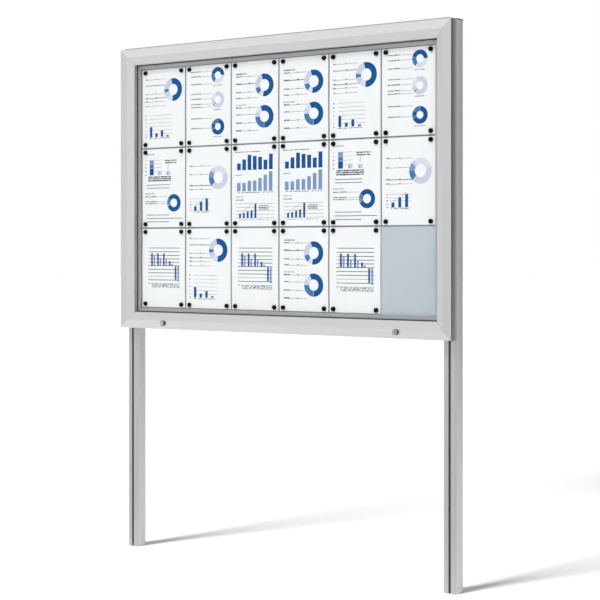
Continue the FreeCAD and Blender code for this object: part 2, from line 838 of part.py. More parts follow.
def make_strut(name, side):
    # drawn about its own middle plane with the case pin at height zero, hanging down
    tube = new_body(f"{name}_tube")
    side_disc(tube, "-strut_eye_width / 2", "strut_eye_width", "strut_depth", "0", "strut_eye_radius")
    barrel = sketch_on(tube, "XY", "-tube_end")
    add_circle(barrel, "0", "strut_depth", "tube_radius")
    pad(tube, barrel, "tube_end - tube_start")
    neck = sketch_on(tube, "XY", "-tube_start")
    add_circle(neck, "0", "strut_depth", "strut_neck_radius")
    pad(tube, neck, "tube_start")
    for start, length, radius in (("tube_cap - tube_end", "tube_end - tube_start - 2 * tube_cap",
                                   "tube_bore"),
                                  ("-tube_end", "tube_cap", "rod_radius + strut_fit")):
        hollow = sketch_on(tube, "XY", start)
        add_circle(hollow, "0", "strut_depth", radius)
        pocket(tube, hollow, length, both=False)
    eye = sketch_on(tube, "YZ")
    add_circle(eye, "strut_depth", "0", "strut_pin_radius + strut_fit")
    pocket(tube, eye, "2 * strut_eye_width")
    x = f"{side} * ({half_width} - strut_inset)"
    pin_height = f"{board_middle} + {half_height} - strut_case_drop"
    keep(tube, x=x, z=pin_height)

    rod = new_body(f"{name}_rod")
    span = "(strut_door_drop - strut_case_drop)"
    bar = sketch_on(rod, "XY", f"-{span}")
    add_circle(bar, "0", "strut_depth", "rod_radius")
    pad(rod, bar, f"{span} - rod_start")
    piston = sketch_on(rod, "XY", "-rod_start - piston_gauge")
    add_circle(piston, "0", "strut_depth", "piston_radius")
    pad(rod, piston, "piston_gauge")
    side_disc(rod, "-strut_eye_width / 2", "strut_eye_width", "strut_depth", f"-{span}", "rod_end_radius")
    keep(rod, x=x, z=pin_height)


# where each kind of printed sheet hangs, as (column from the left, row from the top)
sheet_places = {
    "sheets_one_ring": [(0, 0), (4, 0), (1, 2)],
    "sheets_three_rings": [(1, 0), (5, 0)],
    "sheets_two_rings": [(2, 0), (3, 0), (3, 2)],
    "sheets_stacked_bar": [(0, 1), (4, 1)],
    "sheets_large_ring": [(1, 1), (5, 1)],
    "sheets_bar_rows": [(2, 1), (3, 1)],
    "sheets_grid_bars": [(0, 2), (2, 2), (4, 2)],
}


def sheet_left(column):
    return f"({column} * (sheet_width + sheet_gap) - {field_width} / 2)"


def sheet_bottom(row):
    return f"({field_height} / 2 - sheet_height - {row} * (sheet_height + sheet_gap))"


def make_sheets():
    for label, places in sheet_places.items():
        body = new_body(label)
        for column, row in places:
            left = sheet_left(column)
            bottom = sheet_bottom(row)
            sketch = sketch_on(body, "XZ", f"{panel_front} - sheet_gauge")
            add_outline(sketch, box_corners(left, bottom, f"{left} + sheet_width",
                                            f"{bottom} + sheet_height"))
            pad(body, sketch, "sheet_gauge")
        keep(body, z=board_middle)


def make_magnets():
    # four round magnets hold each sheet, near its corners
    counts = {0: "columns", 1: "columns", 2: "columns - 1"}
    for row, label in enumerate(("magnets_top_row", "magnets_middle_row", "magnets_bottom_row")):
        body = new_body(label)
        back = f"({panel_front} - sheet_gauge)"
        profile = sketch_on(body, "XY", f"{sheet_bottom(row)} + magnet_end")
        x = f"({sheet_left(0)} + magnet_side)"
        add_outline(profile, [(x, f"{back} - magnet_gauge"),
                              (f"{x} + magnet_radius", f"{back} - magnet_gauge", "magnet_edge_radius"),
                              (f"{x} + magnet_radius", back), (x, back)])
        disc = turned_about_edge(body, profile)
        spread(body, disc, ("X", "sheet_width - 2 * magnet_side", "2"),
               ("Z", "sheet_height - 2 * magnet_end", "2"),
               ("X", f"({counts[row]} - 1) * (sheet_width + sheet_gap)", counts[row]))
        keep(body, z=board_middle)


def turned_about_edge(body, profile):
    # the outline's last edge lies on the axis
    return revolve(body, profile, f"Edge{len(profile.Geometry)}")


def make_all():
    fill_sheet()
    make_frames()
    make_ring("door_seal", seal_section(), "seal_offset + seal_width")
    make_ring("glazing_tape", tape_section(), f"{glass_edge} + tape_width")
    make_ring("glazing_beads", bead_section(), face_width)
    make_cleats("door_corner_cleats", "door_cleat_reach", "door_cleat_width", "door_wall", "door_wall",
                "door_depth - 2 * door_wall")
    make_cleats("case_corner_cleats", "case_cleat_reach", "case_cleat_width", "box_offset + box_wall",
                f"{box_front} + box_wall", f"{panel_front} - {box_front} - 2 * box_wall")
    make_plate("glass_pane", glass_edge, glass_front, "glass_gauge")
    make_plate("back_panel", panel_edge, panel_front, "panel_gauge")
    for name, side in (("left", -1), ("right", 1)):
        make_post(f"post_{name}", side)
        make_cap(f"post_cap_{name}", side)
        make_lock(f"lock_{name}", side)
        make_strut(f"strut_{name}", side)
    make_bolts()
    make_hinge()
    make_rivets("case_hinge_rivets", case_rivet_depth())
    make_rivets("door_hinge_rivets", door_rivet_depth())
    make_lock_housings()
    make_keepers()
    make_strut_studs()
    make_sheets()
    make_magnets()


def check_document():
    doc.recompute()
    for feature in doc.Objects:
        if "Invalid" in feature.State or "Error" in feature.State:
            raise ValueError(f"{feature.Label} failed: {feature.State}")
    for node in nodes:
        if node.Shape.isNull() or not node.Shape.isValid():
            raise ValueError(f"{node.Label} has no valid shape")


def write_parts():
    os.makedirs("parts", exist_ok=True)
    for node in nodes:
        node.Shape.exportStep(f"parts/{node.Label}.step")
        print(node.Label, len(node.Shape.Solids), "solids,", round(node.Shape.Volume / 1000, 1), "cm3")


make_all()
check_document()
write_parts()
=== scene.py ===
import math
import random

import bpy
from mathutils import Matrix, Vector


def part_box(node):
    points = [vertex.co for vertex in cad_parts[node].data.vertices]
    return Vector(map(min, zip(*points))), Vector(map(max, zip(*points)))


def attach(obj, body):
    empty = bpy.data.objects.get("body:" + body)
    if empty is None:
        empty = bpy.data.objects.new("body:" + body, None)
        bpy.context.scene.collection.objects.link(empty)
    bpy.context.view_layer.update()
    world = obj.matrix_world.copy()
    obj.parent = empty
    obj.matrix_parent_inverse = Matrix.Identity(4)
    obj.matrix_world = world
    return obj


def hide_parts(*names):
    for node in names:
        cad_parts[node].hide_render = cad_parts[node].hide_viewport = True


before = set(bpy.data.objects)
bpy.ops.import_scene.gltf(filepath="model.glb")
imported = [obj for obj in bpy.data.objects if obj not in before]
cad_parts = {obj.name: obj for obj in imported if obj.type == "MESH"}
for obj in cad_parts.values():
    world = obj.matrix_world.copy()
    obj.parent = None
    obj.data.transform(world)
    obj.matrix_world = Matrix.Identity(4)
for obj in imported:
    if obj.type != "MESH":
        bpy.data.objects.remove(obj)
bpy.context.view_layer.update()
bpy.ops.object.select_all(action="DESELECT")
print("frame loaded:", len(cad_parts), "nodes")

# lengths are in metres, and in millimetres in what is printed on the sheets
perMetre = 1000
doorLow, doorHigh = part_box("door_right_stile")
postLow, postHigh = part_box("post_right")
board = {
    "middle": (doorLow.z + doorHigh.z) / 2,     # height of the middle of the board
    "halfWidth": doorHigh.x,
    "halfHeight": (doorHigh.z - doorLow.z) / 2,
    "front": doorLow.y,                         # front face of the door; depths count back from it
    "depth": postLow.y - doorLow.y,
    "panelDepth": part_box("back_panel")[0].y - doorLow.y,
    "sheetDepth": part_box("sheets_one_ring")[0].y - doorLow.y,
    "postAcross": (postLow.x + postHigh.x) / 2,
    "hair": 0.0004,                             # the play with which a face is told by its place
}
paper = {
    "width": 0.210, "height": 0.297, "gap": 0.005, "columns": 6, "rows": 3, "gauge": 0.00025,
    "faces": (14, 20),      # across and up a sheet
    "gapShade": 0.62,       # painted shade on the panel in the gaps between the sheets
    "edge": 0.6,            # width of the painted shade along the edge of a sheet, in millimetres
}
stepAcross = paper["width"] + paper["gap"]
stepUp = paper["height"] + paper["gap"]
halfAcross = (paper["columns"] * stepAcross - paper["gap"]) / 2     # of all the sheets together
halfUp = (paper["rows"] * stepUp - paper["gap"]) / 2


# materials

class Wire:
    # a node's output that can be used in sums

    def __init__(self, tree, socket):
        self.tree = tree
        self.socket = socket

    def sum(self, operation, first, second=None):
        node = self.tree.nodes.new("ShaderNodeMath")
        node.operation = operation
        for slot, part in enumerate((first, second)):
            if isinstance(part, Wire):
                self.tree.links.new(part.socket, node.inputs[slot])
            elif part is not None:
                node.inputs[slot].default_value = part
        return Wire(self.tree, node.outputs[0])

    def __add__(self, other):
        return self.sum("ADD", self, other)

    def __radd__(self, other):
        return self.sum("ADD", other, self)

    def __sub__(self, other):
        return self.sum("SUBTRACT", self, other)

    def __rsub__(self, other):
        return self.sum("SUBTRACT", other, self)

    def __mul__(self, other):
        return self.sum("MULTIPLY", self, other)

    def __rmul__(self, other):
        return self.sum("MULTIPLY", other, self)

    def __truediv__(self, other):
        return self.sum("DIVIDE", self, other)

    def __rtruediv__(self, other):
        return self.sum("DIVIDE", other, self)

    def __lt__(self, other):
        return self.sum("LESS_THAN", self, other)

    def __gt__(self, other):
        return self.sum("GREATER_THAN", self, other)

    def __abs__(self):
        return self.sum("ABSOLUTE", self)

    def __mod__(self, other):
        return self.sum("FLOORED_MODULO", self, other)

    def __rmod__(self, other):
        return self.sum("FLOORED_MODULO", other, self)

    def root(self):
        return self.sum("SQRT", self)

    def floor(self):
        return self.sum("FLOOR", self)

    def wave(self):
        return self.sum("SINE", self)

    def angleTo(self, other):
        return self.sum("ARCTAN2", self, other)

    def most(self, other):
        return self.sum("MAXIMUM", self, other)

    def least(self, other):
        return self.sum("MINIMUM", self, other)


class Finish:
    # the nodes of one material, or of the world, and the few ways they are made

    def __init__(self, owner):
        if isinstance(owner, str):
            owner = bpy.data.materials.new(owner)
        owner.use_nodes = True
        self.material = owner
        self.tree = owner.node_tree
        self.tree.nodes.clear()
        self.spot = None

    def node(self, kind, settings=(), sockets=()):
        node = self.tree.nodes.new(kind)
        for key, value in dict(settings).items():
            if key == "stops":
                self.setStops(node.color_ramp, value)
            else:
                setattr(node, key, value)
        for key, value in dict(sockets).items():
            if isinstance(value, Wire):
                self.tree.links.new(value.socket, node.inputs[key])
            else:
                node.inputs[key].default_value = value
        return node

    def setStops(self, ramp, stops):
        ramp.interpolation = "CONSTANT"
        ramp.elements.remove(ramp.elements[-1])
        ramp.elements[0].position = 0
        ramp.elements[0].color = rgba(stops[0][1])
        for position, colour in stops[1:]:
            ramp.elements.new(position).color = rgba(colour)

    def wire(self, node, output=0):
        return Wire(self.tree, node.outputs[output])

    def objectSpot(self):
        if self.spot is None:
            self.spot = self.wire(self.node("ShaderNodeTexCoord"), "Object")
        return self.spot

    def axes(self, spot=None):
        parts = self.node("ShaderNodeSeparateXYZ", sockets={0: spot or self.objectSpot()})
        return [self.wire(parts, index) for index in range(3)]

    def noise(self, scale, detail=2.0, roughness=0.5):
        # scale is per metre, one number or one for each axis
        if not isinstance(scale, tuple):
            scale = (scale,) * 3
        mapping = self.node("ShaderNodeMapping", sockets={"Vector": self.objectSpot(), "Scale": scale})
        return self.wire(self.node("ShaderNodeTexNoise", sockets={
            "Vector": self.wire(mapping), "Scale": 1.0, "Detail": detail, "Roughness": roughness}))

    def blend(self, mask, under, over):
        # a colour mix has its factor at socket 0, its colours at 6 and 7 and its result at output 2
        mix = self.node("ShaderNodeMix", {"data_type": "RGBA"}, {0: mask, 6: under, 7: over})
        return self.wire(mix, 2)

    def shade(self, wire, dark, light):
        # a value from 0 to 1 becomes a colour between two
        return self.blend(wire, rgba(dark), rgba(light))

    def bump(self, height, strength, distance):
        return self.wire(self.node("ShaderNodeBump", sockets={
            "Strength": strength, "Distance": distance, "Height": height}))

    def output(self, shader, kind="Material"):
        self.node("ShaderNodeOutput" + kind, sockets={"Surface": self.wire(shader)})
        return self.material

    def surface(self, **values):
        names = {"colour": "Base Color", "roughness": "Roughness", "metallic": "Metallic", "normal": "Normal",
                 "specular": "Specular IOR Level"}
        sockets = {names[key]: value for key, value in values.items()}
        return self.output(self.node("ShaderNodeBsdfPrincipled", sockets=sockets))


def rgba(colour):
    return (*colour, 1)


black = rgba((0, 0, 0))
white = rgba((1, 1, 1))


def linear(red, green, blue):
    # a colour as a picture shows it, 0 to 255, as the light it stands for
    return tuple(((part / 255 + 0.055) / 1.055) ** 2.4 for part in (red, green, blue))


def between(value, low, high):
    return (value > low) * (value < high)


# Each finish has its values in a dictionary. A noise in it is its scale per metre, detail and roughness, and
# a bump is its strength and depth. The spread is how much rougher the noise makes the surface.

railProfile = {
    "dark": (0.82, 0.83, 0.845), "light": (0.89, 0.90, 0.915), "contrast": 0.6, "metallic": 1.0,
    "lineScale": 900, "lineRun": 6, "cloud": (5, 3, 0.6), "grain": (2200, 1),
    "toneLines": 0.65, "bumpLines": 0.7,    # the share that the lines have in the tone and in the bump
    "roughness": 0.30, "spread": 0.10, "bump": (0.05, 0.0004),
    "mitre": 0.00035, "seam": (0.34, 0.34, 0.35),
    "side": 0, "sideDepth": 0.029, "edge": 0.16, "edgeDepth": 0.006,    # painted shade on the outer sides
    "face": 0, "faceDepth": 0.004,          # painted shade on the front of a post
    "slot": None,
}
# painted shade: the stiles are the same extrusion as the rails, given a darker colour
stileProfile = dict(railProfile, dark=(0.68, 0.685, 0.70), light=(0.75, 0.76, 0.775), side=0.40)
# painted shade: the case is given a darker colour for the shade in the recess behind the door
caseProfile = dict(railProfile, dark=(0.43, 0.435, 0.445), light=(0.52, 0.525, 0.535), metallic=0.45,
                   roughness=0.42, side=0.36)
postProfile = dict(railProfile, dark=(0.60, 0.61, 0.62), light=(0.68, 0.69, 0.70), mitre=None, metallic=0.6,
                   roughness=0.38, slot=(0.34, 0.34, 0.35), face=0.15)
# painted shade: the hinge is given a darker colour, which reads as a shaded line along the top
hingeProfile = dict(railProfile, dark=(0.42, 0.425, 0.435), light=(0.52, 0.525, 0.535), mitre=None,
                    roughness=0.34)
# where the painted shade inside a post's slot lies and how dark it grows
postSlot = {"half": 0.0097, "depth": 0.0118, "fade": 0.004, "most": 0.9}


def anodised(name, along, plan):
    # satin anodised extrusion: fine lines along the profile, a little handling, a hairline at each mitre, and
    # painted shade on the outer sides, the front of a post and inside its slot
    finish = Finish(name)
    x, y, z = finish.axes()
    lines = [plan["lineScale"]] * 3
    lines["xyz".index(along)] = plan["lineRun"]
    streak = finish.noise(tuple(lines))
    cloud = finish.noise(*plan["cloud"])
    grain = finish.noise(*plan["grain"])
    tone = streak * plan["toneLines"] + cloud * (1 - plan["toneLines"])
    colour = finish.shade((tone - 0.5) * plan["contrast"] + 0.5, plan["dark"], plan["light"])
    behind = y - board["front"]
    if plan["side"]:
        # painted shade on the outer sides, darkest along the front edge
        outer = (abs(x) > board["halfWidth"] - board["hair"]) * (behind < plan["sideDepth"])
        paintedSideShade = (behind < plan["edgeDepth"]) * plan["edge"] + plan["side"]
        colour = finish.blend(outer * paintedSideShade, colour, black)
    if plan["face"]:
        # painted shade darkens the front of a post
        colour = finish.blend((behind < board["depth"] + plan["faceDepth"]) * plan["face"], colour, black)
    if plan["mitre"]:
        seam = abs((abs(x) - board["halfWidth"]) - (abs(z - board["middle"]) - board["halfHeight"]))
        colour = finish.blend(seam < plan["mitre"], colour, rgba(plan["seam"]))
    if plan["slot"]:
        # painted shade inside the slot down the front of a post, darker further in
        inward = behind - board["depth"]
        inside = abs(abs(x) - board["postAcross"]) < postSlot["half"]
        inside = inside * between(inward, board["hair"], postSlot["depth"])
        paintedSlotShade = inside * (inward / postSlot["fade"]).least(postSlot["most"])
        colour = finish.blend(paintedSlotShade, colour, rgba(plan["slot"]))
    rough = streak * plan["spread"] + cloud * plan["spread"] + plan["roughness"]
    height = streak * plan["bumpLines"] + grain * (1 - plan["bumpLines"])
    return finish.surface(colour=colour, roughness=rough, metallic=plan["metallic"],
                          normal=finish.bump(height, *plan["bump"]))


cleatFinish = {
    "dark": (0.45, 0.45, 0.46), "light": (0.66, 0.66, 0.67), "saw": ((40, 900, 900), 3), "cloud": (60, 4),
    "roughness": 0.4, "spread": 0.2, "bump": (0.2, 0.0005),
}


def millAluminium(name, plan):
    # sawn cleats: coarse cloud and saw lines
    finish = Finish(name)
    saw = finish.noise(*plan["saw"])
    cloud = finish.noise(*plan["cloud"])
    return finish.surface(colour=finish.shade(saw * 0.5 + cloud * 0.5, plan["dark"], plan["light"]),
                          roughness=cloud * plan["spread"] + plan["roughness"], metallic=1.0,
                          normal=finish.bump(saw, *plan["bump"]))


def sheetSpot(finish):
    # millimetres from the lower left corner of the sheet that a point is on
    x, y, z = finish.axes()
    right = x * perMetre + halfAcross * perMetre
    up = z * perMetre - (board["middle"] - halfUp) * perMetre
    return right % (stepAcross * perMetre), up % (stepUp * perMetre)


panelFinish = {
    "dark": linear(178, 186, 196), "light": linear(202, 208, 214), "cloud": (2.2, 3), "peel": (420, 2),
    "rub": ((16, 16, 60), 5, 0.7), "rubbed": 0.2, "roughness": 0.30, "spread": 0.16, "bump": (0.12, 0.0006),
}


def coatedSteel(name, plan):
    # the panel behind the sheets: powder coat, faint orange peel, rubbed a little where magnets slide
    finish = Finish(name)
    cloud = finish.noise(*plan["cloud"])
    peel = finish.noise(*plan["peel"])
    rub = finish.noise(*plan["rub"])
    tone = cloud * (1 - plan["rubbed"]) + rub * plan["rubbed"]
    # painted shade in the gaps between two sheets, where little light gets in; the free place at the lower
    # right is open
    x, y, z = finish.axes()
    u, v = sheetSpot(finish)
    shade = paper["gap"] / 2
    free = (x > halfAcross - stepAcross + shade) * (z < board["middle"] - halfUp + paper["height"])
    gap = ((u > paper["width"] * perMetre) + (v > paper["height"] * perMetre)).least(1.0)
    field = (abs(x) < halfAcross + shade) * (abs(z - board["middle"]) < halfUp + shade) * (1 - free)
    field = field * (y - board["front"] < board["panelDepth"] + board["hair"])
    colour = finish.shade(tone, plan["dark"], plan["light"])
    return finish.surface(colour=finish.blend(gap * field * paper["gapShade"], colour, black),
                          roughness=rub * plan["spread"] + plan["roughness"],
                          normal=finish.bump(peel, *plan["bump"]))


# a bloom in patches makes rubber and plastic paler
sealFinish = {
    "colour": (0.050, 0.050, 0.052), "paler": 1.9, "haze": 0.004, "bloom": (14, 4), "grain": (900, 3),
    "roughness": 0.55, "spread": 0.2, "bump": (0.35, 0.0006),
}
tapeFinish = dict(sealFinish, colour=(0.024, 0.024, 0.025), grain=(1400, 3))
beadFinish = {
    "colour": (0.50, 0.505, 0.51), "paler": 1.35, "haze": 0.005, "bloom": (25, 4), "grain": (1300, 2),
    "roughness": 0.42, "spread": 0.15, "bump": (0.10, 0.0005),
}
capFinish = dict(beadFinish, colour=(0.055, 0.056, 0.058), grain=(1500, 2), roughness=0.45,
                 bump=(0.25, 0.0005))


def moulded(name, plan):
    finish = Finish(name)
    grain = finish.noise(*plan["grain"])
    bloom = finish.noise(*plan["bloom"])
    pale = tuple(part * plan["paler"] + plan["haze"] for part in plan["colour"])
    return finish.surface(colour=finish.shade(bloom, plan["colour"], pale),
                          roughness=bloom * plan["spread"] + plan["roughness"],
                          normal=finish.bump(grain, *plan["bump"]))


magnetFinish = {
    "dark": (0.001, 0.001, 0.0012), "light": (0.005, 0.005, 0.006), "dust": (260, 4), "grain": (1800, 2),
    "across": 88, "up": 136.5, "ring": (5.2, 5.7),  # millimetres from the middle of a sheet and of a cap
    "roughness": 0.38, "spread": 0.25, "specular": 0.08, "grainShare": 0.25, "bump": (0.35, 0.0003),
}


def magnetCap(name, plan):
    # black caps with a shallow moulded ring; the same place on every sheet, so one pattern serves them all
    finish = Finish(name)
    u, v = sheetSpot(finish)
    across = abs(u - paper["width"] * perMetre / 2) - plan["across"]
    up = abs(v - paper["height"] * perMetre / 2) - plan["up"]
    groove = between((across * across + up * up).root(), *plan["ring"])
    grain = finish.noise(*plan["grain"])
    dust = finish.noise(*plan["dust"])
    return finish.surface(colour=finish.shade(dust, plan["dark"], plan["light"]),
                          roughness=dust * plan["spread"] + plan["roughness"], specular=plan["specular"],
                          normal=finish.bump(grain * plan["grainShare"] - groove, *plan["bump"]))


paneFinish = {
    "clear": (0.992, 0.997, 0.996), "dark": (0.84, 0.87, 0.87), "light": (0.95, 0.97, 0.97),
    "wipe": ((7, 7, 22), 5, 0.7), "dust": (900, 2), "roughness": 0.015, "spread": 0.05,
    "sheen": 0.95, "film": 0.003,
}


def clearGlass(name, plan):
    # thin pane: see-through in front, a sheen at a slant, with faint wipe marks
    finish = Finish(name)
    wipe = finish.noise(*plan["wipe"])
    dust = finish.noise(*plan["dust"])
    slant = finish.wire(finish.node("ShaderNodeLayerWeight", sockets={"Blend": 0.5}), "Facing")
    square = slant * slant
    sheen = square * square * slant
    clear = finish.node("ShaderNodeBsdfTransparent", sockets={"Color": rgba(plan["clear"])})
    gloss = finish.node("ShaderNodeBsdfPrincipled", sockets={
        "Base Color": finish.shade(dust, plan["dark"], plan["light"]), "Metallic": 1.0,
        "Roughness": wipe * plan["spread"] + plan["roughness"]})
    return finish.output(finish.node("ShaderNodeMixShader", sockets={
        0: sheen * plan["sheen"] + wipe * plan["film"], 1: finish.wire(clear), 2: finish.wire(gloss)}))


boltZinc = {
    "dark": (0.46, 0.46, 0.46), "light": (0.66, 0.66, 0.65), "crystal": (700, 3), "stain": (90, 4),
    "roughness": 0.27, "spread": 0.18, "bump": (0.12, 0.0003),
}
camZinc = dict(boltZinc, dark=(0.42, 0.41, 0.38), light=(0.62, 0.60, 0.55))


def zincPlate(name, plan):
    finish = Finish(name)
    crystal = finish.noise(*plan["crystal"])
    stain = finish.noise(*plan["stain"])
    return finish.surface(colour=finish.shade(stain, plan["dark"], plan["light"]), metallic=1.0,
                          roughness=crystal * plan["spread"] + plan["roughness"],
                          normal=finish.bump(crystal, *plan["bump"]))


tubeFinish = {
    "dark": (0.012, 0.012, 0.013), "light": (0.035, 0.035, 0.037), "peel": ((600, 600, 240), 2),
    "scuff": ((500, 500, 18), 5, 0.7), "roughness": 0.22, "spread": 0.22, "bump": (0.10, 0.0004),
}


def lacquer(name, plan):
    finish = Finish(name)
    peel = finish.noise(*plan["peel"])
    scuff = finish.noise(*plan["scuff"])
    return finish.surface(colour=finish.shade(scuff, plan["dark"], plan["light"]),
                          roughness=scuff * plan["spread"] + plan["roughness"],
                          normal=finish.bump(peel, *plan["bump"]))


rodFinish = {
    "dark": (0.66, 0.66, 0.67), "light": (0.80, 0.80, 0.81), "oil": ((60, 60, 30), 4), "rings": 30000,
    "roughness": 0.06, "spread": 0.10, "bump": (0.04, 0.0001),
}


def polishedRod(name, plan):
    finish = Finish(name)
    x, y, z = finish.axes()
    rings = (z * plan["rings"]).wave() * 0.5 + 0.5
    oil = finish.noise(*plan["oil"])
    return finish.surface(colour=finish.shade(oil, plan["dark"], plan["light"]), metallic=1.0,
                          roughness=oil * plan["spread"] + plan["roughness"],
                          normal=finish.bump(rings, *plan["bump"]))


# what is printed on the sheets

inks = {
    "deep": linear(0, 82, 148), "mid": linear(66, 120, 174), "steel": linear(126, 152, 190),
    "pale": linear(204, 208, 227), "mist": linear(220, 223, 233), "word": linear(62, 64, 70),
    "line": linear(104, 106, 112), "grid": linear(150, 152, 160), "none": linear(250, 250, 251),
}
printing = {
    "tall": 300,            # height that one ramp of stripes covers
    "dash": 1.7, "row": 4,  # length of a dash of small print, and height of the rows that it changes in
    "ringGap": 1.5,         # degrees between two parts of a ring
    "slope": 0.5,           # half the height of a sloping line
    "rise": 1.6,            # from a ruled line to the middle of the small print on it
}


def stripes(finish, v, heights, thickness):
    # thin level lines at these heights, as one ramp up the sheet
    stops = [(0, (0, 0, 0))]
    for height in sorted(heights):
        stops.append(((height - thickness / 2) / printing["tall"], (1, 1, 1)))
        stops.append(((height + thickness / 2) / printing["tall"], (0, 0, 0)))
    return finish.wire(finish.node("ShaderNodeValToRGB", {"stops": stops}, {0: v / printing["tall"]}))


def inkLines(finish, under, u, v, ink, left, right, heights, thickness=1.4):
    mask = stripes(finish, v, heights, thickness) * between(u, left, right)
    return finish.blend(mask, under, rgba(inks[ink]))


def inkWords(finish, under, u, v, left, right, heights, thickness=2.8, gap=0.3):
    # rows of dashes that read as small print from a distance
    cell = finish.node("ShaderNodeCombineXYZ", sockets={
        0: (u / printing["dash"]).floor(), 1: (v / printing["row"]).floor()})
    chance = finish.wire(finish.node("ShaderNodeTexWhiteNoise", {"noise_dimensions": "2D"},
                                     {"Vector": finish.wire(cell)}))
    mask = stripes(finish, v, heights, thickness) * between(u, left, right) * (chance > gap)
    return finish.blend(mask, under, rgba(inks["word"]))


def inkBars(finish, under, u, v, left, base, pitch, width, heights, ink="deep", down=False):
    # upright bars of these heights, a pitch apart
    count = len(heights)
    along = (u - left) / pitch
    tallest = max(heights)
    stops = [(index / count, (height / tallest,) * 3) for index, height in enumerate(heights)]
    height = finish.wire(finish.node("ShaderNodeValToRGB", {"stops": stops}, {0: along / count})) * tallest
    inside = ((along % 1) < width / pitch) * between(along, 0, count)
    rise = (base - v) if down else (v - base)
    return finish.blend(inside * (rise > 0) * (rise < height), under, rgba(inks[ink]))


def inkRing(finish, under, u, v, centre, outer, inner, parts):
    # a ring of coloured parts; each starts at an angle counted anticlockwise from the left
    across = u - centre[0]
    up = v - centre[1]
    radius = (across * across + up * up).root()
    turn = up.angleTo(across) / (2 * math.pi) + 0.5
    starts = [start for start, ink in parts] + [360 + printing["ringGap"]]
    stops = []
    for (start, ink), end in zip(parts, starts[1:]):
        stops.append((start / 360, inks[ink]))
        stops.append(((end - printing["ringGap"]) / 360, inks["none"]))
    tint = finish.wire(finish.node("ShaderNodeValToRGB", {"stops": stops}, {0: turn}))
    return finish.blend(between(radius, inner, outer), under, tint)


def inkBox(finish, under, u, v, left, low, right, high, ink):
    return finish.blend(between(u, left, right) * between(v, low, high), under, rgba(inks[ink]))


def inkSlope(finish, under, u, v, left, low, right, high):
    # a thin straight line that climbs to the right
    rate = (high - low) / (right - left)
    off = abs(v - low - (u - left) * rate)
    return finish.blend((off < printing["slope"]) * between(u, left, right), under, rgba(inks["word"]))


def above(heights):
    # where small print stands on ruled lines
    return [height + printing["rise"] for height in heights]


